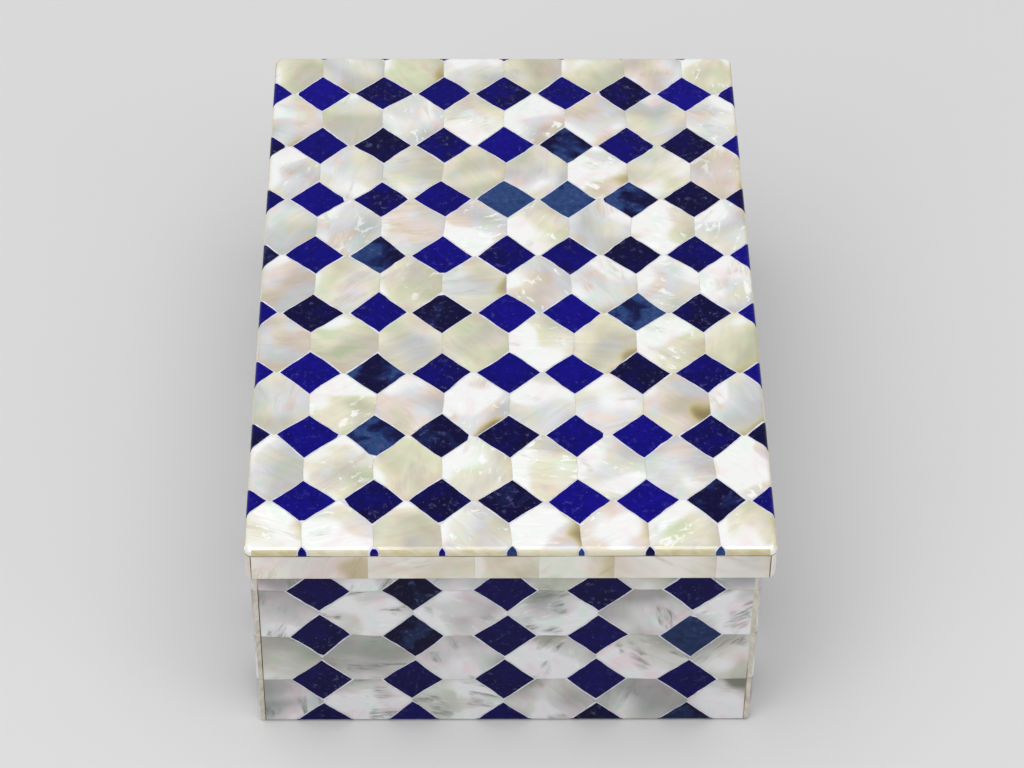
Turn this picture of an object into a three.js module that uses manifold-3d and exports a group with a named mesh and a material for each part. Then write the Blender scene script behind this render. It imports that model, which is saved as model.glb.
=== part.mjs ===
// A small marble box with a lift-off lid. Its walls and lid are faced with a mosaic
// of mother-of-pearl hexagons and lapis lazuli diamonds.
// Millimetres, +Z up. The origin is the middle of the underside, and the front faces -Y.
import * as THREE from "three";
import { mergeVertices } from "three/addons/utils/BufferGeometryUtils.js";
import Module from "manifold-3d";

const wasm = await Module();
wasm.setup();

// Overall sizes
const lidWidth = 102;
const lidDepth = 153;
const bodyHeight = 43.5;
const lidEndOverhang = 1.8;
const lidSideOverhang = 1.5;
const lidShift = 0.8;

// Marble carcass
const marbleWall = 5.5;
const marbleFloor = 6;
const cavityCornerRadius = 2;

// Lid: tiles on top, pearl strips around the board, and a lip that drops into the box
const rimHeight = 6.5;
const rimStripThickness = 1.1;
const rimStripLength = 20;
const lipHeight = 3;
const lipClearance = 1.2;
const lipCornerRadius = 1.5;

// Tile layers
const lidTileThickness = 1.7;
const wallTileThickness = 1.3;
const wallTopGap = 0.2;
const wallFootGap = 0.2;

// Mosaic: a course is a line of diamonds, set tip to tip and spread evenly over its face.
// A border is the distance from the outer course's middle line to the face's end.
const lidRows = 8;
const lidRowBorder = 12.8;
const lidRowDiamonds = 9;
const lidRowRunOut = 2.2;
const endWallColumns = 5;
const sideWallColumns = 8;
const endWallBorder = 11.8;
const sideWallBorder = 11;
const columnDiamonds = 4;
const columnFootRunOut = 0.5;
const columnTopDrop = 4.9;
const tipGap = 1.3;
const diamondBreadth = 12;
const tileClearance = 0.3;

// Tiles lie on a bed of white cement, and a fine groove shows where two pearl tiles meet
const bedThickness = 0.4;
const jointDepth = 0.2;

// Eased edges
const lidCornerRadius = 1.8;
const lidTopEasing = 1;
const lidFootEasing = 0.5;
const bodyCornerRadius = 1;
const bodyFootEasing = 0.7;
const arcSegments = 2;
const footSegments = 1;

// Sizes that follow from them
const bodyWidth = lidWidth - 2 * lidSideOverhang;
const bodyDepth = lidDepth - 2 * lidEndOverhang;
const carcassWidth = bodyWidth - 2 * wallTileThickness;
const carcassDepth = bodyDepth - 2 * wallTileThickness;
const cavityWidth = carcassWidth - 2 * marbleWall;
const cavityDepth = carcassDepth - 2 * marbleWall;
const lidHeight = rimHeight + lidTileThickness;
const pastEdge = 5;

const pearl = new THREE.MeshStandardMaterial({ color: 0xe6e1d0, roughness: 0.25 });
const wallPearl = new THREE.MeshStandardMaterial({ color: 0xcfccc4, roughness: 0.25 });
const rimPearl = new THREE.MeshStandardMaterial({ color: 0xddd0bc, roughness: 0.3 });
const lapis = new THREE.MeshStandardMaterial({ color: 0x1b0e78, roughness: 0.3 });
const marble = new THREE.MeshStandardMaterial({ color: 0xe9e7e2, roughness: 0.5 });

function toSolid(geometry) {
  const bare = geometry.index ? geometry.toNonIndexed() : geometry.clone();
  bare.deleteAttribute("normal");
  bare.deleteAttribute("uv");
  const merged = mergeVertices(bare, 1e-5);
  const mesh = new wasm.Mesh({
    numProp: 3,
    vertProperties: new Float32Array(merged.attributes.position.array),
    triVerts: new Uint32Array(merged.index.array),
  });
  return new wasm.Manifold(mesh);
}

function toGeometry(solid) {
  const { vertProperties, triVerts } = solid.getMesh();
  const geometry = new THREE.BufferGeometry();
  geometry.setAttribute("position", new THREE.BufferAttribute(vertProperties, 3));
  geometry.setIndex(new THREE.BufferAttribute(triVerts, 1));
  geometry.computeVertexNormals();
  return geometry;
}

function joined(solids) {
  return solids.reduce((whole, next) => whole.add(next));
}

function cutAway(solid, tools) {
  return tools.reduce((rest, tool) => rest.subtract(tool), solid);
}

function block(low, high) {
  const size = high.map((value, axis) => value - low[axis]);
  const geometry = new THREE.BoxGeometry(...size);
  const centre = high.map((value, axis) => (value + low[axis]) / 2);
  return toSolid(geometry.translate(...centre));
}

function roundedRectangle(width, depth, radius) {
  const x = width / 2 - radius;
  const y = depth / 2 - radius;
  const quarter = Math.PI / 2;
  const shape = new THREE.Shape();
  shape.absarc(x, -y, radius, -quarter, 0);
  shape.absarc(x, y, radius, 0, quarter);
  shape.absarc(-x, y, radius, quarter, 2 * quarter);
  shape.absarc(-x, -y, radius, 2 * quarter, 3 * quarter);
  return shape;
}

// A block between two heights, with rounded corners in plan and both rims eased over
function easedBlock(width, depth, radius, low, high, easing, segments = arcSegments) {
  const geometry = new THREE.ExtrudeGeometry(roundedRectangle(width, depth, radius), {
    depth: high - low - 2 * easing,
    bevelEnabled: easing > 0,
    bevelThickness: easing,
    bevelSize: easing,
    bevelOffset: -easing,
    bevelSegments: segments,
    curveSegments: arcSegments,
  });
  return toSolid(geometry.translate(0, 0, low + easing));
}

function spread(first, last, count) {
  const pitch = (last - first) / (count - 1);
  return Array.from({ length: count }, (_, i) => first + i * pitch);
}

// A point on a face from its place along a course and across it
function onFace(along, across, upright) {
  return upright ? [across, along] : [along, across];
}

function diamondPrism(face, along, across, grow) {
  const halfLength = (face.along[1] - face.along[0] - tipGap) / 2 + grow;
  const halfBreadth = diamondBreadth / 2 + grow;
  const corners = [
    onFace(along + halfLength, across, face.upright),
    onFace(along, across + halfBreadth, face.upright),
    onFace(along - halfLength, across, face.upright),
    onFace(along, across - halfBreadth, face.upright),
  ];
  const shape = new THREE.Shape(corners.map(([x, y]) => new THREE.Vector2(x, y)));
  const depth = face.thickness + 2 * pastEdge;
  const geometry = new THREE.ExtrudeGeometry(shape, { depth, bevelEnabled: false });
  return toSolid(geometry.translate(0, 0, -pastEdge));
}

// The strip of cement bed under one course, which meets the next strips halfway between
function bedStrip(face, index) {
  const line = face.across[index];
  const before = index > 0 ? (face.across[index - 1] + line) / 2 : -face.reach;
  const isLast = index === face.across.length - 1;
  const after = isLast ? face.reach : (face.across[index + 1] + line) / 2;
  const near = onFace(-face.reach, before, face.upright);
  const far = onFace(face.reach, after, face.upright);
  return block([...near, 0], [...far, bedThickness]);
}

// One course of lapis: its diamonds, held together by their strip of cement bed
function lapisCourse(face, index) {
  const tiles = face.along.map((along) => diamondPrism(face, along, face.across[index], 0));
  return joined([bedStrip(face, index), ...tiles]).intersect(face.slab);
}

// The pearl of one face: a sheet on the bed with a hole for each diamond
function pearlSheet(face) {
  const bed = block(
    [-face.reach, -face.reach, -pastEdge],
    [face.reach, face.reach, bedThickness],
  );
  const grow = tileClearance * Math.SQRT2;
  const holes = face.across.flatMap((across) => {
    return face.along.map((along) => diamondPrism(face, along, across, grow));
  });
  const joints = face.along.map((along) => jointGroove(face, along));
  return cutAway(face.slab, [bed, ...holes, ...joints]);
}

// Pearl tiles meet on a line across the courses, marked by a groove: a bar on its edge
function jointGroove(face, along) {
  const side = jointDepth * Math.SQRT2;
  const bar = new THREE.BoxGeometry(2 * face.reach, side, side).rotateX(Math.PI / 4);
  bar.rotateZ(face.upright ? 0 : Math.PI / 2);
  return toSolid(bar.translate(...onFace(along, 0, face.upright), face.thickness));
}

function namedMesh(name, solid, material) {
  const mesh = new THREE.Mesh(toGeometry(solid), material);
  mesh.name = name;
  return mesh;
}

// Adds a face's pearl sheet and its numbered lapis courses to a group
function addMosaic(group, face, sheetName, courseName, pearlMaterial) {
  group.add(namedMesh(sheetName, pearlSheet(face), pearlMaterial));
  face.across.forEach((_, i) => {
    group.add(namedMesh(`${courseName}_${i + 1}`, lapisCourse(face, i), lapis));
  });
}

function carcass() {
  const outside = block(
    [-carcassWidth / 2, -carcassDepth / 2, 0],
    [carcassWidth / 2, carcassDepth / 2, bodyHeight],
  );
  const top = bodyHeight + pastEdge;
  const cavity = easedBlock(cavityWidth, cavityDepth, cavityCornerRadius, marbleFloor, top, 0);
  return outside.subtract(cavity);
}

// A wall's face has x along the wall, y up it and z out of it
function addWall(body, name, turn, distance, length, columns, border) {
  const wall = new THREE.Group();
  wall.rotation.z = turn;
  const panel = new THREE.Group();
  panel.rotation.x = Math.PI / 2;
  panel.position.y = -distance;
  wall.add(panel);
  body.add(wall);
  wall.updateMatrixWorld(true);

  const outline = easedBlock(
    bodyWidth, bodyDepth, bodyCornerRadius, wallFootGap, bodyHeight + pastEdge,
    bodyFootEasing, footSegments,
  );
  const toPanel = panel.matrixWorld.clone().invert();
  const outlineHere = toSolid(toGeometry(outline).applyMatrix4(toPanel));
  const low = [-length / 2, wallFootGap, 0];
  const high = [length / 2, bodyHeight - wallTopGap, wallTileThickness];
  const face = {
    upright: true,
    thickness: wallTileThickness,
    along: spread(low[1] - columnFootRunOut, high[1] - columnTopDrop, columnDiamonds),
    across: spread(low[0] + border, high[0] - border, columns),
    slab: block(low, high).intersect(outlineHere),
    reach: length,
  };
  addMosaic(panel, face, `${name}_pearl_tiles`, `${name}_lapis_column`, wallPearl);
}

function lidBoard() {
  const width = lidWidth - 2 * rimStripThickness;
  const depth = lidDepth - 2 * rimStripThickness;
  const board = block([-width / 2, -depth / 2, 0], [width / 2, depth / 2, rimHeight]);
  const lipWidth = cavityWidth - 2 * lipClearance;
  const lipDepth = cavityDepth - 2 * lipClearance;
  const lip = easedBlock(lipWidth, lipDepth, lipCornerRadius, -lipHeight, rimHeight / 2, 0);
  return board.add(lip);
}

// One side of the lid's rim: strips of pearl end to end along an axis, with a groove at
// each joint on the outer face, whose place is given
function rimSide(low, high, outline, axis, outerFace) {
  const strip = block(low, high).intersect(outline);
  const length = high[axis] - low[axis];
  const count = Math.max(1, Math.round(length / rimStripLength));
  const side = jointDepth * Math.SQRT2;
  const grooves = [];
  for (let i = 1; i < count; i++) {
    const bar = new THREE.BoxGeometry(side, side, 4 * rimHeight).rotateZ(Math.PI / 4);
    const place = [...outerFace];
    place[axis] = low[axis] + (i * length) / count;
    grooves.push(toSolid(bar.translate(...place)));
  }
  return cutAway(strip, grooves);
}

function addLid(box) {
  const lid = new THREE.Group();
  lid.position.set(lidShift, 0, bodyHeight);
  box.add(lid);
  lid.add(namedMesh("lid_board", lidBoard(), marble));

  const topEased = easedBlock(
    lidWidth, lidDepth, lidCornerRadius, -pastEdge, lidHeight, lidTopEasing,
  );
  const footEased = easedBlock(
    lidWidth, lidDepth, lidCornerRadius, 0, lidHeight + pastEdge, lidFootEasing, footSegments,
  );
  const x = lidWidth / 2;
  const y = lidDepth / 2;
  const innerX = x - rimStripThickness;
  const innerY = y - rimStripThickness;
  const top = rimHeight;
  const sides = {
    front: rimSide([-innerX, -y, 0], [innerX, -innerY, top], footEased, 0, [0, -y, 0]),
    back: rimSide([-innerX, innerY, 0], [innerX, y, top], footEased, 0, [0, y, 0]),
    left: rimSide([-x, -y, 0], [-innerX, y, top], footEased, 1, [-x, 0, 0]),
    right: rimSide([innerX, -y, 0], [x, y, top], footEased, 1, [x, 0, 0]),
  };
  for (const [side, strips] of Object.entries(sides)) {
    lid.add(namedMesh(`lid_rim_${side}`, strips, rimPearl));
  }

  const tiles = new THREE.Group();
  tiles.position.z = rimHeight;
  lid.add(tiles);
  const layer = block([-x, -y, 0], [x, y, lidTileThickness]);
  const face = {
    upright: false,
    thickness: lidTileThickness,
    along: spread(-x - lidRowRunOut, x + lidRowRunOut, lidRowDiamonds),
    across: spread(-y + lidRowBorder, y - lidRowBorder, lidRows),
    slab: layer.intersect(topEased.translate([0, 0, -rimHeight])),
    reach: lidDepth,
  };
  addMosaic(tiles, face, "lid_pearl_tiles", "lid_lapis_row", pearl);
}

const box = new THREE.Group();
const body = new THREE.Group();
box.add(body);
body.add(namedMesh("box_carcass", carcass(), marble));
const frontDistance = carcassDepth / 2;
const sideDistance = carcassWidth / 2;
const quarterTurn = Math.PI / 2;
addWall(body, "front", 0, frontDistance, carcassWidth, endWallColumns, endWallBorder);
addWall(body, "back", 2 * quarterTurn, frontDistance, carcassWidth, endWallColumns, endWallBorder);
addWall(body, "left", -quarterTurn, sideDistance, bodyDepth, sideWallColumns, sideWallBorder);
addWall(body, "right", quarterTurn, sideDistance, bodyDepth, sideWallColumns, sideWallBorder);
addLid(box);

export default box;
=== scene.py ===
# %% [markdown]
# # A small box faced with shell and lapis
# The real thing is a hollow white marble box with a loose lid. Craftsmen glue thin tiles of
# mother-of-pearl and lapis lazuli to it in white cement, then grind and polish the whole face.
# The carcass and the lid board come from the CAD model. Every tile is laid here, one by one.

# %% Load the frame
import math
import random

import bpy
from mathutils import Matrix, Vector, noise


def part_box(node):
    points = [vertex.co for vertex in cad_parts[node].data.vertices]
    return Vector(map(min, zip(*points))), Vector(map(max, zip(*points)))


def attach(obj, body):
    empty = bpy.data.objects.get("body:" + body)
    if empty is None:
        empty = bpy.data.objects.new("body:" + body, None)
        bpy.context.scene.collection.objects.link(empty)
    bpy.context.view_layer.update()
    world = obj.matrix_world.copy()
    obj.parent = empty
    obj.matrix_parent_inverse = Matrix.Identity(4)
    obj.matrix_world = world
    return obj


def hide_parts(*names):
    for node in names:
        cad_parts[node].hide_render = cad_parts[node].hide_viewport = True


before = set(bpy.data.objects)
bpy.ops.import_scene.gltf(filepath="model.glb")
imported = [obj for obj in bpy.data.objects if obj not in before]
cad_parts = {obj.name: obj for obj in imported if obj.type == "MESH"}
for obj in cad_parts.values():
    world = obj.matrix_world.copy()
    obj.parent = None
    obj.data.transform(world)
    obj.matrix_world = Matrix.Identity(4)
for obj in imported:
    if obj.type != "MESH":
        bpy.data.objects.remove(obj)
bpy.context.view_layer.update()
MM = 0.001
QUARTER = math.pi / 2

# %% [markdown]
# ## Camera
# The photograph looks down on the lid from the front through a long lens. The place and turn
# below were worked out from the corners of the box and the rows of tiles, so they are written
# as a real camera's: where it stands, how far it looks down and aside, and its lens.

# %% Place the camera
CAMERA_PLACE = Vector((-8.3, -509.9, 503.6)) * MM
LOOK_DOWN = math.radians(43.3)
LOOK_RIGHT = math.radians(1.17)
LEAN = math.radians(0.73)
LENS = 115.4
SENSOR_WIDTH = 36

camera_data = bpy.data.cameras.new("camera")
camera_data.lens = LENS
camera_data.sensor_width = SENSOR_WIDTH
camera = bpy.data.objects.new("camera", camera_data)
bpy.context.scene.collection.objects.link(camera)
turn = Matrix.Rotation(-LOOK_RIGHT, 4, "Z") @ Matrix.Rotation(QUARTER - LOOK_DOWN, 4, "X")
camera.matrix_world = Matrix.Translation(CAMERA_PLACE) @ turn @ Matrix.Rotation(LEAN, 4, "Z")
bpy.context.scene.camera = camera
print("camera at", tuple(round(v, 4) for v in camera.location))

# %% [markdown]
# ## Light
# The photograph is lit softly from above and a little from the front, with nothing bright
# where the polished lid would mirror it, so the lapis keeps its depth. Large area lights give
# that, and a plain world fills the shadows.

# %% Add the lights
def add_softbox(name, place, aim, size, power):
    data = bpy.data.lights.new(name, "AREA")
    data.shape = "RECTANGLE"
    data.size, data.size_y = size
    data.energy = power
    lamp = bpy.data.objects.new(name, data)
    bpy.context.scene.collection.objects.link(lamp)
    lamp.location = place
    lamp.rotation_euler = (Vector(aim) - Vector(place)).to_track_quat("-Z", "Y").to_euler()


MIDDLE = Vector((0, 0, 0.03))
add_softbox("top_softbox", (-0.1, -0.2, 1.5), MIDDLE, (2.4, 1.8), 18)
add_softbox("front_left_softbox", (-0.9, -0.9, 0.75), MIDDLE, (0.8, 0.8), 3.4)
add_softbox("front_right_softbox", (1.0, -0.7, 0.6), MIDDLE, (0.6, 0.8), 1.8)

world = bpy.data.worlds.new("studio")
world.use_nodes = True
world.node_tree.nodes["Background"].inputs["Color"].default_value = (1, 1, 1, 1)
world.node_tree.nodes["Background"].inputs["Strength"].default_value = 0.5
bpy.context.scene.world = world
bpy.context.scene.view_settings.view_transform = "Standard"

# %% [markdown]
# ## Node helpers
# Every finish below is a small node tree. This helper adds one node, sets its plain values
# and links its inputs, so that each finish reads as a short recipe.

# %% Define how a node is added
def new_material(name):
    material = bpy.data.materials.new(name)
    material.use_nodes = True
    material.node_tree.nodes.clear()
    return material


def node(tree, kind, settings=None, **inputs):
    made = tree.nodes.new(kind)
    for key, value in (settings or {}).items():
        setattr(made, key, value)
    for key, value in inputs.items():
        socket = made.inputs[key.replace("_", " ")]
        if isinstance(value, bpy.types.NodeSocket):
            tree.links.new(value, socket)
        else:
            socket.default_value = value
    return made


# %% [markdown]
# A ramp turns a grey value into a colour by a list of stops, a mix lays one colour over another,
# and a maths node works on two grey values. Nearly every pattern below is made of these three.

# %% Define the ramp, the mix and the maths
def ramp(tree, factor, stops, mode="LINEAR"):
    made = tree.nodes.new("ShaderNodeValToRGB")
    made.color_ramp.interpolation = mode
    elements = made.color_ramp.elements
    while len(elements) < len(stops):
        elements.new(0.5)
    for element, (place, colour) in zip(elements, stops):
        element.position = place
        element.color = (*colour, 1) if len(colour) == 3 else (colour[0],) * 3 + (1,)
    tree.links.new(factor, made.inputs["Fac"])
    return made.outputs["Color"]


def mix(tree, factor, a, b, blend="MIX"):
    made = tree.nodes.new("ShaderNodeMix")
    made.data_type = "RGBA"
    made.blend_type = blend
    for index, value in ((0, factor), (6, a), (7, b)):
        if isinstance(value, bpy.types.NodeSocket):
            tree.links.new(value, made.inputs[index])
        else:
            made.inputs[index].default_value = value if index == 0 else (*value, 1)
    return made.outputs[2]


def maths(tree, operation, *values, clamp=False):
    made = tree.nodes.new("ShaderNodeMath")
    made.operation = operation
    made.use_clamp = clamp
    for index, value in enumerate(values):
        if isinstance(value, bpy.types.NodeSocket):
            tree.links.new(value, made.inputs[index])
        else:
            made.inputs[index].default_value = value
    return made.outputs[0]


# %% [markdown]
# ## Floor
# The box stands on a plain pale sheet of matt paper. The sheet is large, so that its edges stay
# out of the picture.

# %% Lay the floor
FLOOR_SIZE = 6
bpy.ops.mesh.primitive_plane_add(size=FLOOR_SIZE, location=(0, 0, 0))
floor = bpy.context.object
floor.name = "floor"
floor_paper = new_material("floor_paper")
tree = floor_paper.node_tree
paper = node(tree, "ShaderNodeBsdfPrincipled", Base_Color=(0.66, 0.66, 0.66, 1), Roughness=0.9)
paper.inputs["Specular IOR Level"].default_value = 0.1
node(tree, "ShaderNodeOutputMaterial", Surface=paper.outputs[0])
floor.data.materials.append(floor_paper)
print("floor", FLOOR_SIZE, "m wide")

# %% [markdown]
# ## The mosaic's layout
# A course is a line of diamonds, tip to tip. On the lid the courses run from side to side, and
# on the walls they stand upright. Shell hexagons fill what is left between two courses. The
# sizes are the CAD model's, taken from its boxes where a box gives them.

# %% Set the sizes of the mosaic
LID_ROWS = 8
LID_ROW_BORDER = 13.1 * MM
LID_ROW_DIAMONDS = 9
LID_ROW_RUN_OUT = 2.2 * MM
END_WALL_COLUMNS = 5
SIDE_WALL_COLUMNS = 8
END_WALL_BORDER = 11.8 * MM
SIDE_WALL_BORDER = 11 * MM
COLUMN_DIAMONDS = 4
COLUMN_FOOT_RUN_OUT = 0.5 * MM
COLUMN_TOP_DROP = 4.9 * MM
TIP_GAP = 1.1 * MM
DIAMOND_BREADTH = 12.1 * MM
CEMENT_JOINT = 0.26 * MM
PEARL_JOINT = 0.05 * MM
CEMENT_RECESS = 0.1 * MM

# %% Read the sizes of the CAD model
lid_low, lid_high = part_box("lid_pearl_tiles")
rim_low, rim_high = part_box("lid_rim_left")
front_low, front_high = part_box("front_pearl_tiles")
side_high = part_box("right_pearl_tiles")[1]
board_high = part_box("lid_board")[1]
carcass_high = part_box("box_carcass")[1]
LID_TOP = lid_high.z
LID_TILE_FOOT = board_high.z
print("lid tiles", [round(v / MM, 2) for v in lid_high - lid_low], "mm")


# %% Define how courses are spread out
def spread(first, last, count):
    step = (last - first) / (count - 1)
    return [first + i * step for i in range(count)]


def one_more(places):
    step = places[1] - places[0]
    return [places[0] - step, *places, places[-1] + step]


# %% [markdown]
# ## Tile blanks
# A lapis tile is a square sawn from a slab and set on its point. A shell tile starts as an
# oblong, and its four corners are ground off where the diamonds will lie. The long edges are
# divided, because a hand-cut edge is never quite straight, and the top edges get a fine
# arris, which catches the light on the finished face.

# %% Define how parts are selected and cut
HAIR = 0.001 * MM


def deselect_everything():
    if bpy.context.object and bpy.context.object.mode != "OBJECT":
        bpy.ops.object.mode_set(mode="OBJECT")
    bpy.ops.object.select_all(action="DESELECT")


def take_up(piece):
    deselect_everything()
    piece.select_set(True)
    bpy.context.view_layer.objects.active = piece


def select_parts(piece, kind, test):
    take_up(piece)
    bpy.ops.object.mode_set(mode="EDIT")
    bpy.ops.mesh.select_mode(type=kind)
    bpy.ops.mesh.select_all(action="DESELECT")
    bpy.ops.object.mode_set(mode="OBJECT")
    for part in piece.data.edges if kind == "EDGE" else piece.data.polygons:
        part.select = test(part)
    bpy.ops.object.mode_set(mode="EDIT")


def cut_off(places_and_normals):
    for place, normal in places_and_normals:
        bpy.ops.mesh.select_all(action="SELECT")
        if bpy.context.object.data.total_vert_sel:
            bpy.ops.mesh.bisect(plane_co=place, plane_no=normal, use_fill=True,
                                clear_outer=True, threshold=HAIR)


# %% Define how edges are divided and eased
ARRIS = 0.07 * MM
EDGE_CUTS = 4
LONG_EDGE = 3 * MM
FACES_UP = 0.9


def divide_long_edges(blank):
    vertices = blank.data.vertices

    def is_long_and_level(edge):
        a, b = (vertices[v].co for v in edge.vertices)
        return abs(a.z - b.z) < HAIR and (a - b).length > LONG_EDGE

    select_parts(blank, "EDGE", is_long_and_level)
    bpy.ops.mesh.subdivide(number_cuts=EDGE_CUTS)
    bpy.ops.object.mode_set(mode="OBJECT")


def ease_top(blank, arris=ARRIS):
    select_parts(blank, "FACE", lambda face: face.normal.z > FACES_UP)
    bpy.ops.mesh.region_to_loop()
    bpy.ops.mesh.bevel(offset=arris, segments=2, affect="EDGES")
    bpy.ops.object.mode_set(mode="OBJECT")


# %% [markdown]
# The lapis blank is a four-sided cylinder, so its corners lie on the axes. The shell blank is a
# cube with four corners bisected away. Its top is inset and the inner face drawn in, and an
# attribute marks the band that is left round it, because the tile is painted darker towards its
# rim, partly in the shell's own colour and partly as painted shade.

# %% Model the two blanks
BAND = 0.6
FLAT_UP = 0.999


def mark_band(blank, inner):
    band = blank.data.attributes.new("edge_band", "FLOAT", "POINT")
    for vertex in blank.data.vertices:
        band.data[vertex.index].value = 0 if vertex.index in inner else 1


def lapis_blank(length, breadth, thickness):
    deselect_everything()
    middle = (0, 0, thickness / 2)
    bpy.ops.mesh.primitive_cylinder_add(vertices=4, radius=0.5, depth=thickness, location=middle)
    blank = bpy.context.object
    blank.scale = (length, breadth, 1)
    bpy.ops.object.transform_apply(location=True, rotation=True, scale=True)
    divide_long_edges(blank)
    ease_top(blank)
    return blank


def pearl_blank(pitch, spacing, length, breadth, thickness):
    deselect_everything()
    size = (pitch - PEARL_JOINT, spacing - PEARL_JOINT, thickness)
    bpy.ops.mesh.primitive_cube_add(size=1, location=(0, 0, thickness / 2), scale=size)
    blank = bpy.context.object
    bpy.ops.object.transform_apply(location=True, rotation=True, scale=True)
    bpy.ops.object.mode_set(mode="EDIT")
    slant = Vector((breadth, length, 0)).normalized()
    diamond_side = length * breadth / 2 / math.hypot(length, breadth)
    for x_side in (-1, 1):
        for y_side in (-1, 1):
            normal = Vector((x_side * slant.x, y_side * slant.y, 0))
            diamond = Vector((x_side * pitch / 2, y_side * spacing / 2, 0))
            cut_off([(diamond - normal * (diamond_side + CEMENT_JOINT), normal)])
    divide_long_edges(blank)
    ease_top(blank)
    select_parts(blank, "FACE", lambda face: face.normal.z > FLAT_UP)
    bpy.ops.mesh.inset(thickness=HAIR)
    bpy.ops.transform.resize(value=(BAND, BAND, 1), center_override=(0, 0, thickness))
    bpy.ops.object.mode_set(mode="OBJECT")
    middle = max((face for face in blank.data.polygons if face.normal.z > FLAT_UP),
                 key=lambda face: face.area)
    mark_band(blank, set(middle.vertices))
    return blank


# %% [markdown]
# ## Grinding a face
# When the cement is hard, the edges are sawn straight and ground over. Each pass of the wheel
# is a plane that takes off a facet, so a rounded edge is a fan of planes around the box. They
# follow from one rule: how far a rounded block reaches in a given direction.

# %% Define the grinding passes
CORNER_STEPS = 4
EDGE_STEPS = 5


def grinding_planes(middle, half, corner, level, easing, up=1):
    planes = []
    turns = 4 * CORNER_STEPS
    for i in range(turns):
        around = 2 * math.pi * i / turns
        reach = (half[0] - corner) * abs(math.cos(around)) + corner
        reach += (half[1] - corner) * abs(math.sin(around))
        for j in range(EDGE_STEPS):
            tilt = QUARTER * j / EDGE_STEPS
            flat = math.cos(tilt)
            rise = up * math.sin(tilt)
            normal = Vector((flat * math.cos(around), flat * math.sin(around), rise))
            distance = flat * (reach - easing) + easing
            distance += rise * (level - up * easing) + flat * normal.xy.normalized().dot(middle)
            planes.append((normal * distance, normal))
    return planes


# %% [markdown]
# Only the planes that a piece reaches past are cut, which saves most of the work. A plane that
# it merely touches is left out, because cutting twice in one place would double the face.

# %% Grind a piece
def grind(piece, planes):
    points = [v.co.copy() for v in piece.data.vertices]
    needed = []
    for place, normal in planes:
        reach = place.dot(normal) + 2 * HAIR
        if any(point.dot(normal) > reach for point in points):
            needed.append((place, normal))
    take_up(piece)
    bpy.ops.object.mode_set(mode="EDIT")
    cut_off(needed)
    bpy.ops.mesh.select_all(action="SELECT")
    bpy.ops.mesh.fill_holes(sides=0)
    bpy.ops.mesh.normals_make_consistent(inside=False)
    bpy.ops.object.mode_set(mode="OBJECT")


def straight_ends(low, high):
    planes = []
    for axis in (0, 1):
        normal = Vector((0, 0, 0))
        normal[axis] = 1
        planes.append((normal * high[axis], normal))
        planes.append((normal * low[axis], -normal))
    return planes


# %% [markdown]
# ## Uneven tiles
# Tiles cut by hand are never quite alike. Each copy of a blank is warped a little in plan: it
# is turned, stretched and made slightly wedge-shaped, and its edges ripple. Some lapis tiles
# also have a blunt corner. Without a seed of its own, Blender's noise follows the clock, and
# the box would come out different in every run.

# %% Define how a tile is made uneven
TURN = math.radians(0.5)
STRETCH = 0.02
WEDGE = 0.012
DRIFT = 0.05 * MM
RIPPLE = 0.18 * MM
RIPPLE_LENGTH = 2.0 * MM
BLUNT_DEPTH = (0.25, 0.8)
BLUNT_LEAN = 0.5
NOISE_SPAN = 90
NOISE_SEED = 3
noise.seed_set(NOISE_SEED)


def noise_place(rng):
    return Vector((rng.uniform(0, NOISE_SPAN), rng.uniform(0, NOISE_SPAN), 0))


def warp(mesh, rng, shrink):
    turn_by = rng.uniform(-TURN, TURN)
    wide = 1 - rng.uniform(0, STRETCH) * shrink
    deep = 1 - rng.uniform(0, STRETCH) * shrink
    wedge = rng.uniform(-WEDGE, WEDGE)
    half = max(abs(v.co.y) for v in mesh.vertices)
    shift = Vector((rng.uniform(-DRIFT, DRIFT), rng.uniform(-DRIFT, DRIFT), 0)) * shrink
    spin = Matrix.Rotation(turn_by * shrink, 3, "Z")
    seed = noise_place(rng)
    for vertex in mesh.vertices:
        x, y, z = vertex.co
        rough = noise.noise_vector(Vector((x, y, 0)) / RIPPLE_LENGTH + seed) * RIPPLE * shrink
        x *= wide * (1 + wedge * y / half)
        vertex.co = spin @ Vector((x + rough.x, y * deep + rough.y, z)) + shift


def blunt_corner(tile, length, breadth, rng):
    take_up(tile)
    bpy.ops.object.mode_set(mode="EDIT")
    way = Vector(rng.choice(((1, 0, 0), (-1, 0, 0), (0, 1, 0), (0, -1, 0))))
    reach = (length if way.x else breadth) / 2 - rng.uniform(*BLUNT_DEPTH) * MM
    lean = Vector((way.y, way.x, 0)) * rng.uniform(-BLUNT_LEAN, BLUNT_LEAN)
    cut_off([(way * reach, (way + lean).normalized())])
    bpy.ops.object.mode_set(mode="OBJECT")


# %% [markdown]
# ## Laying the tiles
# A slow wave runs through the whole face, so that no course is quite straight. Each tile is
# ground by itself, which keeps every cut face with its own tile, and then the tiles of one
# stone are joined into a single piece.

# %% Define how tiles are laid
BLUNT_SHARE = 0.4
SHELL_WARP = 0.08
WAVE = 0.7 * MM
WAVE_LENGTH = 11 * MM


def sway(mesh, seed):
    for vertex in mesh.vertices:
        x, y, z = vertex.co
        bend = noise.noise_vector(Vector((x, y, 0)) / WAVE_LENGTH + seed) * WAVE
        vertex.co = Vector((x + bend.x, y + bend.y, z))


def join(pieces, name):
    take_up(pieces[0])
    for piece in pieces:
        piece.select_set(True)
    bpy.ops.object.join()
    joined = bpy.context.object
    joined.name = joined.data.name = name
    return joined


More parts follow.
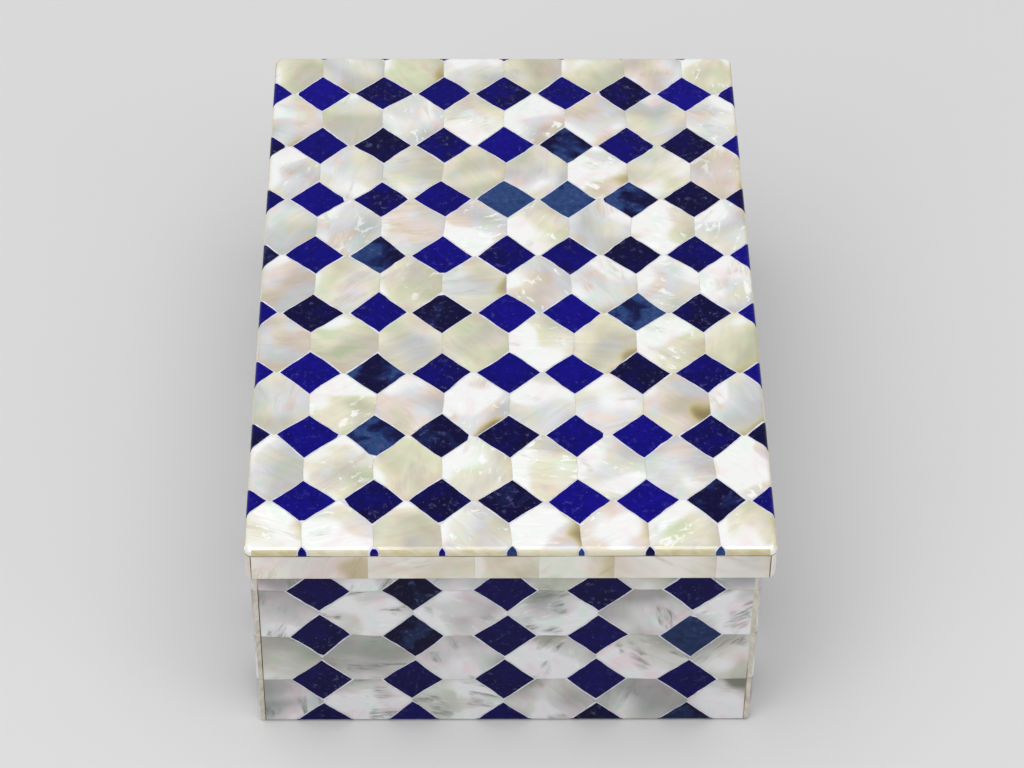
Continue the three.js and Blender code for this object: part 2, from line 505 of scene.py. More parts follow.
def lay(blank, places, name, rng, seed, rounds, blunt_size=None):
    tiles = []
    for x, y in places:
        tile = blank.copy()
        tile.data = blank.data.copy()
        bpy.context.scene.collection.objects.link(tile)
        warp(tile.data, rng, 1 if blunt_size else SHELL_WARP)
        if blunt_size and rng.random() < BLUNT_SHARE:
            blunt_corner(tile, *blunt_size, rng)
        tile.data.transform(Matrix.Translation((x, y, 0)))
        sway(tile.data, seed)
        for planes in rounds:
            grind(tile, planes)
        if tile.data.vertices:
            tiles.append(tile)
        else:
            bpy.data.objects.remove(tile)
    laid = join(tiles, name)
    bpy.data.objects.remove(blank)
    return laid


# %% [markdown]
# ## Every tile its own character
# No two pieces of shell or stone look the same. After grinding, each separate tile in a piece
# gets its own numbers: a tint, a strength for the dark edge, which is partly painted shade, a
# painted shade from one side to the other and a clear place in the pattern, which lifts the
# painted highlights. They are kept in a colour attribute and in a UV map in millimetres, turned
# at random, so that the grain of each tile runs its own way.

# %% Find the separate tiles in a mesh
def tiles_of(mesh):
    leader = list(range(len(mesh.vertices)))

    def find(v):
        while leader[v] != v:
            leader[v] = leader[leader[v]]
            v = leader[v]
        return v

    for edge in mesh.edges:
        a, b = (find(v) for v in edge.vertices)
        leader[b] = a
    groups = {}
    for polygon in mesh.polygons:
        groups.setdefault(find(polygon.vertices[0]), []).append(polygon)
    return list(groups.values())


# %% Define how tiles get their character
GRAIN_OFFSET = 400
PLACE_DIGITS = 5


def centre_of(mesh, polygons):
    points = [mesh.vertices[v].co for polygon in polygons for v in polygon.vertices]
    return sum(points, Vector()) / len(points)


def give_character(piece, rng, dark_share, dark_way, dark_spread):
    mesh = piece.data
    while mesh.uv_layers:
        mesh.uv_layers.remove(mesh.uv_layers[0])
    mesh.uv_layers.new(name="grain")
    mesh.color_attributes.new("tile_tone", "FLOAT_COLOR", "CORNER")
    grain = mesh.uv_layers["grain"]
    tile_tone = mesh.color_attributes["tile_tone"]
    groups = sorted(tiles_of(mesh), key=lambda group: tuple(
        round(value, PLACE_DIGITS) for value in centre_of(mesh, group)))
    for polygons in groups:
        centre = centre_of(mesh, polygons)
        size = max((mesh.vertices[v].co - centre).length
                   for polygon in polygons for v in polygon.vertices)
        spin = Matrix.Rotation(rng.uniform(0, 2 * math.pi), 3, "Z")
        offset = Vector((rng.uniform(-GRAIN_OFFSET, GRAIN_OFFSET),
                         rng.uniform(-GRAIN_OFFSET, GRAIN_OFFSET), 0))
        tint = rng.random()
        dark = rng.uniform(0.4, 1) if rng.random() < dark_share else 0
        lift = rng.random()
        towards = dark_way + rng.uniform(-dark_spread, dark_spread)
        way = Vector((math.cos(towards), math.sin(towards), 0))
        for polygon in polygons:
            for corner in polygon.loop_indices:
                point = mesh.vertices[mesh.loops[corner].vertex_index].co - centre
                flat = spin @ Vector((point.x + point.z, point.y + point.z, 0)) / MM + offset
                grain.data[corner].uv = flat.xy
                across = 0.5 + 0.5 * point.dot(way) / size
                tile_tone.data[corner].color = (tint, dark, across, lift)
    return len(groups)


# %% [markdown]
# ## Mother-of-pearl
# Shell is built of thin clear layers, so it glows rather than shines: a cream body with soft
# pink, green and yellow clouds, painted white highlights, a few painted glints and faint growth
# bands. One side of some tiles is darker: amber on the lid and olive on the rim where the layers
# run out, with painted shade on the lid, and grey painted shade at the top of the wall tiles.
# The body's normal is tilted per tile and waved by the bands under a flat clear polish, so the
# same light falls on every tile in a different way.

# %% Define the shell's clouds
def tile_inputs(tree):
    grain = node(tree, "ShaderNodeUVMap", {"uv_map": "grain"}).outputs[0]
    attribute = node(tree, "ShaderNodeAttribute", {"attribute_name": "tile_tone"})
    parts = node(tree, "ShaderNodeSeparateColor", Color=attribute.outputs["Color"])
    return grain, parts.outputs[0], parts.outputs[1], parts.outputs[2], attribute.outputs["Alpha"]


def cloud(tree, vector, scale, detail=3, roughness=0.5, distortion=0, stretch=None, shift=0):
    if stretch or shift:
        vector = node(tree, "ShaderNodeMapping", Vector=vector, Location=(shift, -shift, 0),
                      Scale=stretch or (1, 1, 1)).outputs[0]
    made = node(tree, "ShaderNodeTexNoise", Vector=vector, Scale=scale, Detail=detail,
                Roughness=roughness, Distortion=distortion)
    return made.outputs["Fac"]


def steps(tree, factor, *stops):
    return ramp(tree, factor, [(place, (value,)) for place, value in stops], "EASE")


# %% [markdown]
# Growth bands are dark, fibrous streaks where the shell paused in its growth. A thin slice of a
# stretched noise gives the streak, and a finer noise frays it. The run-out darkens one side of a
# tile: partly the shell's own amber where the layers end, partly painted shade. It follows the
# tile's painted shade from side to side, and a faint line follows the marked band.

# %% Define the growth bands and the run-out with its painted shade
def growth_lines(tree, grain, bands, mask, amount):
    growth = cloud(tree, grain, 0.09, detail=1.6, distortion=0.5, stretch=(0.5, 1.3, 1), shift=43)
    growth = maths(tree, "MULTIPLY_ADD", bands, 0.05, growth)
    line = ramp(tree, growth, [(0.44, (0,)), (0.505, (0.9,)), (0.53, (1,)), (0.57, (0,))])
    fibres = cloud(tree, grain, 0.8, detail=4, roughness=0.65, distortion=0.7,
                   stretch=(0.3, 1.7, 1), shift=11)
    line = maths(tree, "MULTIPLY", line, steps(tree, fibres, (0.42, 0.25), (0.6, 1.25)))
    return maths(tree, "MULTIPLY", line, steps(tree, mask, (0.5, 0), (0.6, amount)))


# Darkens one side of the tile and a thin line along its rim: partly the shell's own amber, partly
# painted shade.
def edge_tone_and_painted_shade(tree, across, dark, hues, outline):
    far = maths(tree, "MULTIPLY_ADD", hues, 0.4, maths(tree, "MULTIPLY", across, 0.6))
    far = steps(tree, far, (0.61, 0), (0.80, 1))
    band = node(tree, "ShaderNodeAttribute", {"attribute_name": "edge_band"}).outputs["Fac"]
    line = maths(tree, "MULTIPLY", steps(tree, band, (0.8, 0), (1.0, 1)), outline)
    return maths(tree, "MAXIMUM", maths(tree, "MULTIPLY", far, dark), line)


# %% [markdown]
# The pearl's body takes its tint from the tile and a slow cloud. Painted shade darkens it on
# the tile's dark side, on duller tiles and in some clouds, a painted white highlight covers its
# brighter places, and it is washed with the green and pink of its play of colour. Glints are
# painted highlights: small bright flakes of white on the brighter tiles.

# %% Define the pearl's body and its painted glints
def grey_of(tree, value):
    return node(tree, "ShaderNodeCombineColor", Red=value, Green=value, Blue=value).outputs[0]


def pearl_body(tree, tile, clouds, tints, white, shadow, play):
    tint, across, lift = tile
    zones, hues, lustre, bands = clouds
    tint_place = maths(tree, "MULTIPLY_ADD", hues, 1.3, -0.65)
    tint_place = maths(tree, "MULTIPLY_ADD", tint, 0.8, maths(tree, "ADD", tint_place, 0.1))
    body = ramp(tree, tint_place, tints)
    # A light value from a cloud, the tile's lift and its side-to-side measure drives the painted
    # shade and the painted highlight below.
    light = maths(tree, "MULTIPLY_ADD", lift, 0.26, zones)
    light = maths(tree, "MULTIPLY_ADD", across, -0.26, light)
    # Painted shade, partly the shell's own cloudy tone.
    shade = steps(tree, light, (0.28, shadow), (0.56, 1))
    shade = maths(tree, "MULTIPLY", shade, steps(tree, bands, (0.35, 0.96), (0.65, 1.03)))
    body = mix(tree, 1.0, body, grey_of(tree, shade), "MULTIPLY")
    # Painted highlight: white where the light value is high.
    painted_highlight = steps(tree, light, (0.54, 0), (0.64, 0.95))
    body = mix(tree, painted_highlight, body, white)
    orient = ramp(tree, lustre, [(0.30, (0.84, 1.0, 0.90)), (0.45, (1, 1, 1)),
                                 (0.55, (1, 1, 1)), (0.70, (1.0, 0.85, 0.89))])
    return mix(tree, play, body, orient, "MULTIPLY")


# Painted glints: small white flakes laid into the colour as highlights.
def painted_glints(tree, grain, lustre, lift, painted_glint_amount):
    glint_spots = cloud(tree, grain, 0.5, detail=3, roughness=0.6, distortion=0.8,
                   stretch=(0.6, 1.2, 1), shift=83)
    glints = steps(tree, glint_spots, (0.34, 1), (0.46, 0))
    glints = maths(tree, "MULTIPLY", glints, steps(tree, lustre, (0.42, painted_glint_amount), (0.52, 0)))
    return maths(tree, "MULTIPLY", glints, steps(tree, lift, (0.45, 0), (0.6, 1)))


# %% Define the whole pearl
# The colour of the painted glints.
PAINTED_GLINT_WHITE = (0.98, 0.98, 0.96)


def pearl_material(name, tints, white, edge_tint_and_shade, deep, growth, growth_amount, shadow, painted_glint_amount, play,
                   outline):
    material = new_material(name)
    tree = material.node_tree
    grain, tint, dark, across, lift = tile_inputs(tree)
    zones = cloud(tree, grain, 0.075, detail=1.2, distortion=0.3)
    hues = cloud(tree, grain, 0.13, detail=1, shift=31)
    lustre = cloud(tree, grain, 0.16, detail=1.5, distortion=0.9, shift=57)
    bands = cloud(tree, grain, 0.3, detail=2.5, distortion=1.0, stretch=(0.32, 1.3, 1))

    body = pearl_body(tree, (tint, across, lift), (zones, hues, lustre, bands), tints, white,
                      shadow, play)
    body = mix(tree, growth_lines(tree, grain, bands, hues, growth_amount), body, growth)
    body = mix(tree, painted_glints(tree, grain, lustre, lift, painted_glint_amount), body, PAINTED_GLINT_WHITE)
    # The darker side and rim line: partly the shell's own amber, partly painted shade.
    edge = edge_tone_and_painted_shade(tree, across, dark, hues, outline)
    edge_tone_and_shade_colour = ramp(tree, edge, [(0.3, edge_tint_and_shade), (0.9, deep)])
    body = mix(tree, steps(tree, edge, (0.0, 0), (0.8, 0.9)), body, edge_tone_and_shade_colour)

    waves = maths(tree, "MULTIPLY_ADD", bands, 0.16, across)
    tilt = node(tree, "ShaderNodeBump", Strength=1.0, Distance=0.001, Height=waves)
    shader = node(tree, "ShaderNodeBsdfPrincipled", Base_Color=body, Roughness=0.3,
                  Metallic=0.14, Normal=tilt.outputs[0])
    shader.inputs["Specular IOR Level"].default_value = 0.5
    shader.inputs["Coat Weight"].default_value = 0.3
    shader.inputs["Coat Roughness"].default_value = 0.06
    shader.inputs["Coat IOR"].default_value = 1.45
    node(tree, "ShaderNodeOutputMaterial", Surface=shader.outputs[0])
    return material


# %% [markdown]
# Three kinds of shell are used. The lid has the whitest, with amber where the layers end,
# partly painted shade. The walls have a darker, greyer one with dark growth bands, partly
# painted shade, and the rim's strips are beige.

# %% Make the three pearls
PEARL_TINTS = [
    (0.0, (0.69, 0.70, 0.50)), (0.2, (0.78, 0.75, 0.57)), (0.4, (0.77, 0.74, 0.63)),
    (0.55, (0.73, 0.74, 0.70)), (0.68, (0.72, 0.74, 0.77)), (0.82, (0.79, 0.69, 0.64)),
    (1.0, (0.76, 0.68, 0.55)),
]
GREY_TINTS = [
    (0.0, (0.54, 0.56, 0.47)), (0.3, (0.60, 0.60, 0.55)), (0.55, (0.62, 0.62, 0.62)),
    (0.75, (0.66, 0.61, 0.63)), (1.0, (0.56, 0.60, 0.60)),
]
BEIGE_TINTS = [
    (0.0, (0.64, 0.60, 0.45)), (0.25, (0.73, 0.67, 0.55)), (0.5, (0.75, 0.71, 0.64)),
    (0.75, (0.74, 0.72, 0.68)), (1.0, (0.79, 0.68, 0.65)),
]
lid_pearl = pearl_material(
    "lid_pearl", tints=PEARL_TINTS, white=(0.91, 0.92, 0.91), edge_tint_and_shade=(0.60, 0.52, 0.20),
    deep=(0.22, 0.16, 0.05), growth=(0.52, 0.46, 0.34), growth_amount=0.4, shadow=0.72,
    painted_glint_amount=0.85, play=0.6, outline=0.13)
# Darker and greyer than the lid's shell, partly painted shade; its grey edge colour is painted
# shade.
wall_pearl = pearl_material(
    "wall_pearl", tints=GREY_TINTS, white=(0.78, 0.78, 0.80), edge_tint_and_shade=(0.32, 0.32, 0.25),
    deep=(0.14, 0.14, 0.10), growth=(0.22, 0.22, 0.19), growth_amount=0.8, shadow=0.52,
    painted_glint_amount=0.3, play=0.85, outline=0.16)
rim_pearl = pearl_material(
    "rim_pearl", tints=BEIGE_TINTS, white=(0.81, 0.77, 0.72), edge_tint_and_shade=(0.46, 0.38, 0.14),
    deep=(0.34, 0.26, 0.10), growth=(0.46, 0.40, 0.22), growth_amount=0.4, shadow=0.88,
    painted_glint_amount=0, play=0.6, outline=0)
print("pearls", lid_pearl.name, wall_pearl.name, rim_pearl.name)

# %% [markdown]
# The sawn sides of the shell show its layers end on, warmer and duller than the face.

# %% Make the cut edge of the shell
def edge_material(name, light, deep):
    material = new_material(name)
    tree = material.node_tree
    grain, tint = tile_inputs(tree)[:2]
    layers = cloud(tree, grain, 0.5, detail=3)
    place = maths(tree, "MULTIPLY_ADD", layers, 0.9, maths(tree, "MULTIPLY_ADD", tint, 0.5, -0.2))
    body = ramp(tree, place, [(0.25, deep), (0.65, light)])
    shader = node(tree, "ShaderNodeBsdfPrincipled", Base_Color=body, Roughness=0.4)
    shader.inputs["Specular IOR Level"].default_value = 0.4
    shader.inputs["Coat Weight"].default_value = 0.1
    node(tree, "ShaderNodeOutputMaterial", Surface=shader.outputs[0])
    return material


pearl_edge = edge_material("pearl_edge", (0.72, 0.68, 0.52), (0.56, 0.49, 0.27))
wall_pearl_edge = edge_material("wall_pearl_edge", (0.62, 0.58, 0.50), (0.36, 0.32, 0.25))
print("cut edges", pearl_edge.name, wall_pearl_edge.name)

# %% [markdown]
# ## Lapis lazuli
# The stone is a deep ultramarine. Some tiles are nearly navy, speckled with grey, and a few
# are a paler denim blue. Fine white calcite and a little gold pyrite run through it. It is
# polished flat, but it mirrors little, so its specular level is low.

# %% Define the lapis
GOLD = (0.30, 0.25, 0.14)
GOLD_AMOUNT = 0.35


def lapis_material(name, tones, specks):
    material = new_material(name)
    tree = material.node_tree
    grain, tint = tile_inputs(tree)[:2]
    slow = cloud(tree, grain, 0.16, detail=2, distortion=0.6, shift=17)
    mottle = cloud(tree, grain, 0.75, detail=5, roughness=0.66, distortion=0.6)
    drift = steps(tree, slow, (0.36, -0.17), (0.64, 0.17))
    place = maths(tree, "ADD", drift, tint)
    body = ramp(tree, place, tones)
    depth = steps(tree, mottle, (0.3, 0.72), (0.6, 1.15))
    body = mix(tree, 1.0, body, grey_of(tree, depth), "MULTIPLY")
    calcite = steps(tree, mottle, (0.54, 0), (0.68, 1))
    calcite = maths(tree, "MULTIPLY", calcite, steps(tree, slow, (0.42, 0.15), (0.6, 1)))
    strength = ramp(tree, place, [(0.0, (0.35,)), (0.45, (0.35,)), (0.6, (0.8,)), (1, (0.7,))])
    body = mix(tree, maths(tree, "MULTIPLY", calcite, strength), body, specks)
    grains = node(tree, "ShaderNodeTexVoronoi", Vector=grain, Scale=0.6)
    gold = steps(tree, grains.outputs["Distance"], (0.05, 1), (0.075, 0))
    body = mix(tree, maths(tree, "MULTIPLY", gold, GOLD_AMOUNT), body, GOLD)
    shader = node(tree, "ShaderNodeBsdfPrincipled", Base_Color=body, Roughness=0.25)
    shader.inputs["Specular IOR Level"].default_value = 0.1
    node(tree, "ShaderNodeOutputMaterial", Surface=shader.outputs[0])
    return material


# %% [markdown]
# The tones run from bright ultramarine through navy to denim. The walls get the darker list:
# partly painted shade, because less light reaches them, and partly because their stone is
# plainer.

# %% Make the lapis of the lid and of the walls
LID_TONES = [
    (0.0, (0.004, 0.0005, 0.20)), (0.25, (0.002, 0.0005, 0.16)), (0.45, (0.002, 0.0005, 0.12)),
    (0.62, (0.002, 0.001, 0.06)), (0.74, (0.002, 0.001, 0.034)), (0.86, (0.003, 0.002, 0.034)),
    (0.95, (0.008, 0.02, 0.10)), (1.0, (0.02, 0.05, 0.16)),
]
# Darker than the lid's tones, partly painted shade.
WALL_TONES = [
    (0.0, (0.004, 0.001, 0.10)), (0.3, (0.003, 0.001, 0.065)), (0.55, (0.003, 0.001, 0.045)),
    (0.7, (0.003, 0.002, 0.022)), (0.88, (0.003, 0.002, 0.022)), (1.0, (0.012, 0.025, 0.085)),
]
lid_lapis = lapis_material("lid_lapis", LID_TONES, (0.085, 0.08, 0.20))
wall_lapis = lapis_material("wall_lapis", WALL_TONES, (0.06, 0.08, 0.16))
print("lapis", lid_lapis.name, wall_lapis.name)

# %% [markdown]
# ## Cement, marble and glue
# White cement fills the joints, slightly chalky. The marble behind is honed, not polished,
# with faint grey veins. The glue between the lid's tiles and its edge strips, and in the
# corners, was cream and has turned brown in places.

# %% Make the cement
cement = new_material("white_cement")
tree = cement.node_tree
place = node(tree, "ShaderNodeTexCoord").outputs["Object"]
chalk = cloud(tree, place, 900, detail=4)
body = ramp(tree, chalk, [(0.35, (0.58, 0.58, 0.66)), (0.65, (0.76, 0.76, 0.86))])
shader = node(tree, "ShaderNodeBsdfPrincipled", Base_Color=body, Roughness=0.7)
node(tree, "ShaderNodeOutputMaterial", Surface=shader.outputs[0])
print("material", cement.name)

# %% Make the marble
marble = new_material("honed_marble")
tree = marble.node_tree
place = node(tree, "ShaderNodeTexCoord").outputs["Object"]
veins = cloud(tree, place, 22, detail=8, roughness=0.6, distortion=1.4)
crystals = cloud(tree, place, 1600, detail=2)
body = ramp(tree, veins, [(0.44, (0.80, 0.79, 0.77)), (0.5, (0.68, 0.68, 0.68)),
                          (0.56, (0.82, 0.81, 0.79))])
bump = node(tree, "ShaderNodeBump", Strength=0.15, Distance=0.0002, Height=crystals)
shader = node(tree, "ShaderNodeBsdfPrincipled", Base_Color=body, Roughness=0.45,
              Normal=bump.outputs[0])
shader.inputs["Subsurface Weight"].default_value = 0.1
shader.inputs["Subsurface Radius"].default_value = (0.004, 0.004, 0.003)
node(tree, "ShaderNodeOutputMaterial", Surface=shader.outputs[0])
print("material", marble.name)

# %% Make the glue
glue = new_material("brown_glue")
tree = glue.node_tree
place = node(tree, "ShaderNodeTexCoord").outputs["Object"]
stain = cloud(tree, place, 60, detail=3)
body = ramp(tree, stain, [(0.40, (0.12, 0.08, 0.04)), (0.48, (0.34, 0.28, 0.16)),
                          (0.56, (0.58, 0.55, 0.46))])
shader = node(tree, "ShaderNodeBsdfPrincipled", Base_Color=body, Roughness=0.5)
node(tree, "ShaderNodeOutputMaterial", Surface=shader.outputs[0])
print("material", glue.name)

# %% [markdown]
# The marble carcass and the lid board are right as the CAD model has them, so they stay and
# only take the marble.

# %% Dress the carcass and the lid board
for name in ("box_carcass", "lid_board"):
    marble_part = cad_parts[name]
    marble_part.data.materials.clear()
    marble_part.data.materials.append(marble)
print("marble on the carcass and the lid board")

# %% [markdown]
# ## A whole face
# Every face is laid flat, with its courses along x, and ground there, then turned and moved to
# its place. The lid needs no turn. A wall is laid on its side, because its courses stand
# upright.

# %% Find the places of the tiles
SEED = 11
LAPIS_REACH = 5.9 * MM
rng = random.Random(SEED)


def mosaic_places(along, across):
    step = along[1] - along[0]
    row = across[1] - across[0]
    lapis = [(x, y) for y in one_more(across) for x in along]
    shell_x = [x + step / 2 for x in one_more(along)[:-1]]
    shell_y = [y + row / 2 for y in one_more(across)[:-1]]
    return lapis, [(x, y) for y in shell_y for x in shell_x], step, row


def inside(places, low, high, x_reach, y_reach):
    return [(x, y) for x, y in places
            if low[0] - x_reach < x < high[0] + x_reach
            and low[1] - y_reach < y < high[1] + y_reach]


# %% [markdown]
# The bed is a plain block of cement, a little lower than the tiles, so that the joints are
# recessed. Each piece then gets its finish. Sawn faces of a shell tile that look sideways get
# the second one, which shows the layers end on.

# %% Define the bed and the finish of a face
SIDE_ON = 0.6
SMALLEST_SIDE = 2e-6


def cement_bed(name, low, high, thickness, passes):
    deselect_everything()
    height = thickness - CEMENT_RECESS
    middle = ((low[0] + high[0]) / 2, (low[1] + high[1]) / 2, height / 2)
    size = (high[0] - low[0], high[1] - low[1], height)
    bpy.ops.mesh.primitive_cube_add(size=1, location=middle, scale=size)
    bed = bpy.context.object
    bed.name = bed.data.name = name
    bpy.ops.object.transform_apply(location=True, rotation=True, scale=True)
    grind(bed, [(place - normal * CEMENT_RECESS, normal) for place, normal in passes])
    return bed


def dress(piece, materials, outward):
    piece.data.materials.clear()
    for material in materials:
        piece.data.materials.append(material)
    for polygon in piece.data.polygons:
        side_on = polygon.normal.dot(outward) < SIDE_ON and polygon.area > SMALLEST_SIDE
        polygon.material_index = 1 if side_on and len(materials) > 1 else 0
        polygon.use_smooth = False
    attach(piece, "root")


# %% Define how a face is made
def tile_face(name, along, across, low, high, thickness, to_place, planes, finishes, dark):
    lapis_places, shell_places, step, row = mosaic_places(along, across)
    length = step - TIP_GAP
    wave_seed = noise_place(rng)
    lapis_places = inside(lapis_places, low, high, LAPIS_REACH, LAPIS_REACH)
    shell_places = inside(shell_places, low, high, step / 2, row / 2)
    to_flat = to_place.inverted()
    passes = [(to_flat @ place, to_flat.to_3x3() @ normal) for place, normal in planes]
    rounds = (straight_ends(low, high), passes)
    stone = lay(lapis_blank(length, DIAMOND_BREADTH, thickness), lapis_places,
                name + "_lapis_mosaic", rng, wave_seed, rounds, (length, DIAMOND_BREADTH))
    shell = lay(pearl_blank(step, row, length, DIAMOND_BREADTH, thickness), shell_places,
                name + "_pearl_mosaic", rng, wave_seed, rounds)
    bed = cement_bed(name + "_cement_bed", low, high, thickness, passes)
    outward = (to_place.to_3x3() @ Vector((0, 0, 1))).normalized()
    pearl, pearl_side, lapis = finishes
    pearl_slot = "lid_pearl" if name == "lid" else "wall_pearl"
    counts = []
    for piece, materials, slot in ((stone, (lapis,), "lapis"),
                                   (shell, (pearl, pearl_side), pearl_slot),
                                   (bed, (cement,), "marble")):
        counts.append(give_character(piece, rng, *dark))
        piece.data.transform(to_place)
        dress(piece, materials, outward)
    nodes = [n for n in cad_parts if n.startswith(name + "_")]
    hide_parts(*[n for n in nodes if "pearl" in n])
    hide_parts(*[n for n in nodes if "lapis" in n])
    print(name, "lapis tiles", counts[0], "pearl tiles", counts[1])


# %% [markdown]
# ## The lid's face
# Eight courses of diamonds run across the lid, nine to a course, with the outer two cut by the
# edge. One more course lies just past each end, so only its tips show on the rounded edge.

# %% Tile the lid
LID_CORNER = 1.8 * MM
LID_EASING = 1.0 * MM
# How many lid tiles get the darker side, which way it lies and how far it wanders: partly painted
# shade.
LID_DARK = (0.45, -0.4, 1.0)
lid_middle = Vector(((lid_low.x + lid_high.x) / 2, 0))
lid_half = (lid_high - lid_low) / 2
lid_planes = grinding_planes(lid_middle, lid_half, LID_CORNER, LID_TOP, LID_EASING)
to_lid = Matrix.Translation((lid_middle.x, 0, LID_TILE_FOOT))
end = lid_half.x + LID_ROW_RUN_OUT
border = lid_half.y - LID_ROW_BORDER
tile_face(
    "lid", spread(-end, end, LID_ROW_DIAMONDS), spread(-border, border, LID_ROWS),
    (-lid_half.x, -lid_half.y), (lid_half.x, lid_half.y), LID_TOP - LID_TILE_FOOT,
    to_lid, lid_planes, (lid_pearl, pearl_edge, lid_lapis), LID_DARK)

# %% [markdown]
# ## The lid's rim
# Strips of plain shell, sawn to uneven lengths, are glued round the lid's edge below the tile
# layer. The strips of the long sides run right to the corners, and the short sides' strips
# stop a hair before them.

# %% Set the sizes of the rim
RIM_JOINTS = ((0.224, 0.430, 0.554, 0.699, 0.896), (0.13, 0.37, 0.52, 0.78),
              (0.11, 0.24, 0.41, 0.55, 0.66, 0.84), (0.17, 0.29, 0.47, 0.6, 0.73, 0.88))
RIM_JOINT = 0.01 * MM
RIM_ARRIS = 0.03 * MM
CORNER_GLUE = 0.22 * MM
GLUE = 0.28 * MM
GLUE_RECESS = 0.18 * MM
RIM_EASING = 0.5 * MM
RIM_DARK = (0.8, 0, 0.4)
RIM_FOOT = rim_low.z
RIM_HEIGHT = LID_TILE_FOOT - GLUE - RIM_FOOT
strip = rim_high.x - rim_low.x
rim_planes = grinding_planes(lid_middle, lid_half, LID_CORNER, RIM_FOOT, RIM_EASING, -1)
print("rim height", round(RIM_HEIGHT / MM, 2), "mm, strip", round(strip / MM, 2), "mm thick")


# %% Build the rim
def rim_side(name, turn_by, half_length, distance, joints):
    ends = [0, *joints, 1]
    strips = []
    deselect_everything()
    for first, last in zip(ends, ends[1:]):
        left = -half_length + 2 * half_length * first
        right = -half_length + 2 * half_length * last - RIM_JOINT
        bpy.ops.mesh.primitive_cube_add(
            size=1, location=((left + right) / 2, RIM_HEIGHT / 2, strip / 2),
            scale=(right - left, RIM_HEIGHT, strip))
        strips.append(bpy.context.object)
        bpy.ops.object.transform_apply(location=True, rotation=True, scale=True)
        ease_top(strips[-1], RIM_ARRIS)
    rim = join(strips, name + "_rim_strips")
    count = give_character(rim, rng, *RIM_DARK)
    stand_up = Matrix(((1, 0, 0, 0), (0, 0, -1, -distance), (0, 1, 0, RIM_FOOT), (0, 0, 0, 1)))
    rim.data.transform(Matrix.Translation(lid_middle.to_3d()) @ Matrix.Rotation(turn_by, 4, "Z")
                       @ stand_up)
    grind(rim, rim_planes)
    rim.data.materials.clear()
    rim.data.materials.append(rim_pearl)
    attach(rim, "root")
    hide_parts("lid_rim_" + name)
    print(name, "rim strips", count)


short = lid_half.x - strip - CORNER_GLUE
rim_side("front", 0, short, lid_half.y - strip, RIM_JOINTS[0])
rim_side("back", 2 * QUARTER, short, lid_half.y - strip, RIM_JOINTS[1])
rim_side("left", -QUARTER, lid_half.y, lid_half.x - strip, RIM_JOINTS[2])
rim_side("right", QUARTER, lid_half.y, lid_half.x - strip, RIM_JOINTS[3])

# %% [markdown]
# The glue line under the tile layer is a thin frame: a flat plate, ground like the rim but a
# little further in, its two faces inset, the middles deleted and the hole's edges bridged.

# %% Build the glue line
deselect_everything()
bpy.ops.mesh.primitive_cube_add(
    size=1, location=(lid_middle.x, 0, LID_TILE_FOOT - GLUE / 2),
    scale=(2 * (lid_half.x - GLUE_RECESS), 2 * (lid_half.y - GLUE_RECESS), GLUE))
glue_line = bpy.context.object
glue_line.name = glue_line.data.name = "lid_glue_line"
bpy.ops.object.transform_apply(location=True, rotation=True, scale=True)
grind(glue_line, [(place - normal * GLUE_RECESS, normal) for place, normal in rim_planes])
select_parts(glue_line, "FACE", lambda face: abs(face.normal.z) > FACES_UP)
bpy.ops.mesh.inset(thickness=strip - GLUE_RECESS)
bpy.ops.mesh.delete(type="FACE")
bpy.ops.mesh.select_mode(type="EDGE")
bpy.ops.mesh.select_non_manifold()
bpy.ops.mesh.bridge_edge_loops()
bpy.ops.mesh.select_all(action="SELECT")
bpy.ops.mesh.normals_make_consistent(inside=False)
bpy.ops.object.mode_set(mode="OBJECT")
glue_line.data.materials.append(glue)
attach(glue_line, "root")
print("glue line faces", len(glue_line.data.polygons))

# %% [markdown]
# ## The walls
# A wall's columns stand on the foot, which cuts the lowest diamonds in half. The long walls
# run the full depth, and the short ones fit between them, so the ends of the long walls' tiles
# show at the corners.

# %% Define how a wall is tiled
BODY_CORNER = 1.0 * MM
BODY_EASING = 0.7 * MM
# Painted shade at the top of about six in ten wall tiles.
WALL_DARK = (0.6, 0, 0.7)
body_half = Vector((side_high.x, -front_low.y))
body_middle = Vector((0, 0))
wall_foot, wall_top = front_low.z, front_high.z
body_planes = grinding_planes(body_middle, body_half, BODY_CORNER, wall_foot, BODY_EASING, -1)
column = spread(wall_foot - COLUMN_FOOT_RUN_OUT, wall_top - COLUMN_TOP_DROP, COLUMN_DIAMONDS)


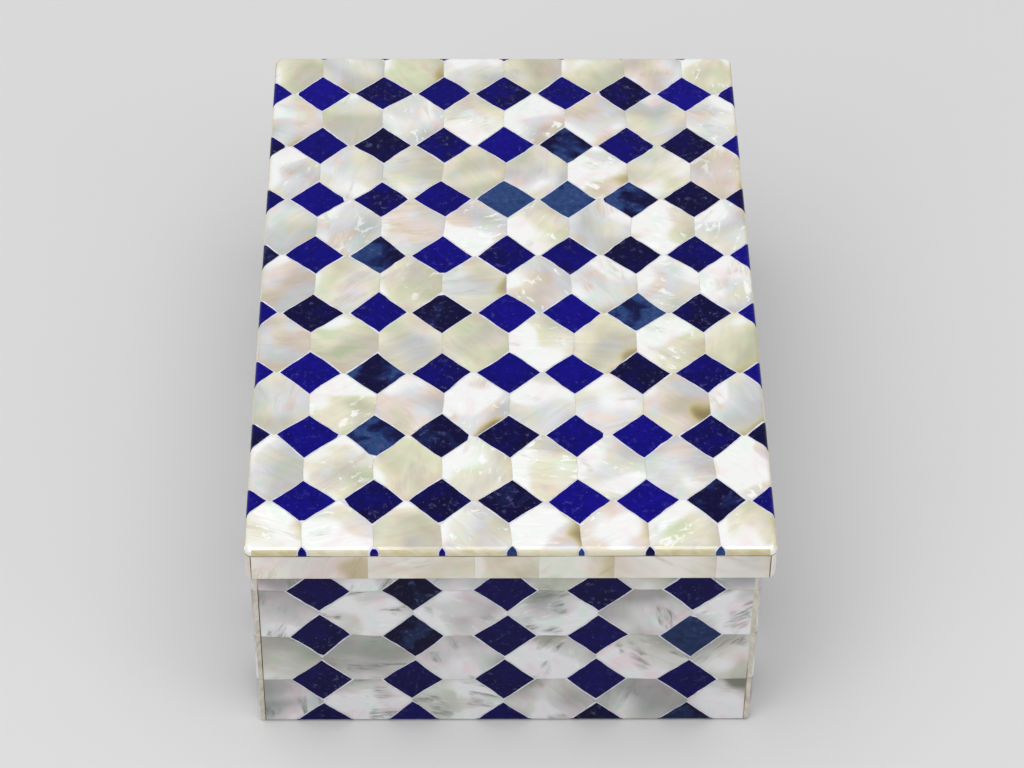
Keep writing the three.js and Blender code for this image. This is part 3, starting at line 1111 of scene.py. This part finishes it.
def tile_wall(name, turn_by, face_distance, half_length, border, columns, end_gap):
    lines = spread(-half_length + border, half_length - border, columns)
    half_length -= end_gap
    thickness = face_distance[1] - face_distance[0]
    stand_up = Matrix(((0, -1, 0, 0), (0, 0, -1, -face_distance[0]), (1, 0, 0, 0), (0, 0, 0, 1)))
    to_wall = Matrix.Rotation(turn_by, 4, "Z") @ stand_up
    tile_face(name, column, lines, (wall_foot, -half_length), (wall_top, half_length),
              thickness, to_wall, body_planes, (wall_pearl, wall_pearl_edge, wall_lapis),
              WALL_DARK)


# %% Tile the walls
end_faces = (carcass_high.y, -front_low.y)
side_faces = (carcass_high.x, side_high.x)
for name, turn_by in (("front", 0), ("back", 2 * QUARTER)):
    tile_wall(name, turn_by, end_faces, front_high.x, END_WALL_BORDER, END_WALL_COLUMNS,
              CORNER_GLUE)
for name, turn_by in (("left", -QUARTER), ("right", QUARTER)):
    tile_wall(name, turn_by, side_faces, side_high.y, SIDE_WALL_BORDER, SIDE_WALL_COLUMNS, 0)

# %% [markdown]
# Where the ends of the long walls' tiles meet the short walls' tiles, a hair of old glue shows
# as an upright line. Each line is a slim bar let into the joint.

# %% Define the corner joints
BAR_DEPTH = 1 * MM
BAR_RECESS = 0.05 * MM


def corner_bars(name, half, inner, foot, top, middle, planes):
    deselect_everything()
    bars = []
    for x_side in (-1, 1):
        for y_side in (-1, 1):
            place = (middle.x + x_side * (inner - CORNER_GLUE / 2),
                     y_side * (half - BAR_DEPTH / 2), (foot + top) / 2)
            bpy.ops.mesh.primitive_cube_add(size=1, location=place,
                                            scale=(CORNER_GLUE, BAR_DEPTH, top - foot))
            bars.append(bpy.context.object)
            bpy.ops.object.transform_apply(location=True, rotation=True, scale=True)
    joint = join(bars, name)
    grind(joint, [(place - normal * BAR_RECESS, normal) for place, normal in planes])
    joint.data.materials.clear()
    joint.data.materials.append(glue)
    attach(joint, "root")


# %% Fill the corner joints
corner_bars("corner_glue_lines", body_half.y, front_high.x, wall_foot, wall_top, body_middle,
            body_planes)
corner_bars("rim_glue_lines", lid_half.y, lid_half.x - strip, RIM_FOOT, LID_TILE_FOOT - GLUE,
            lid_middle, rim_planes)
print("glue in eight corner joints")
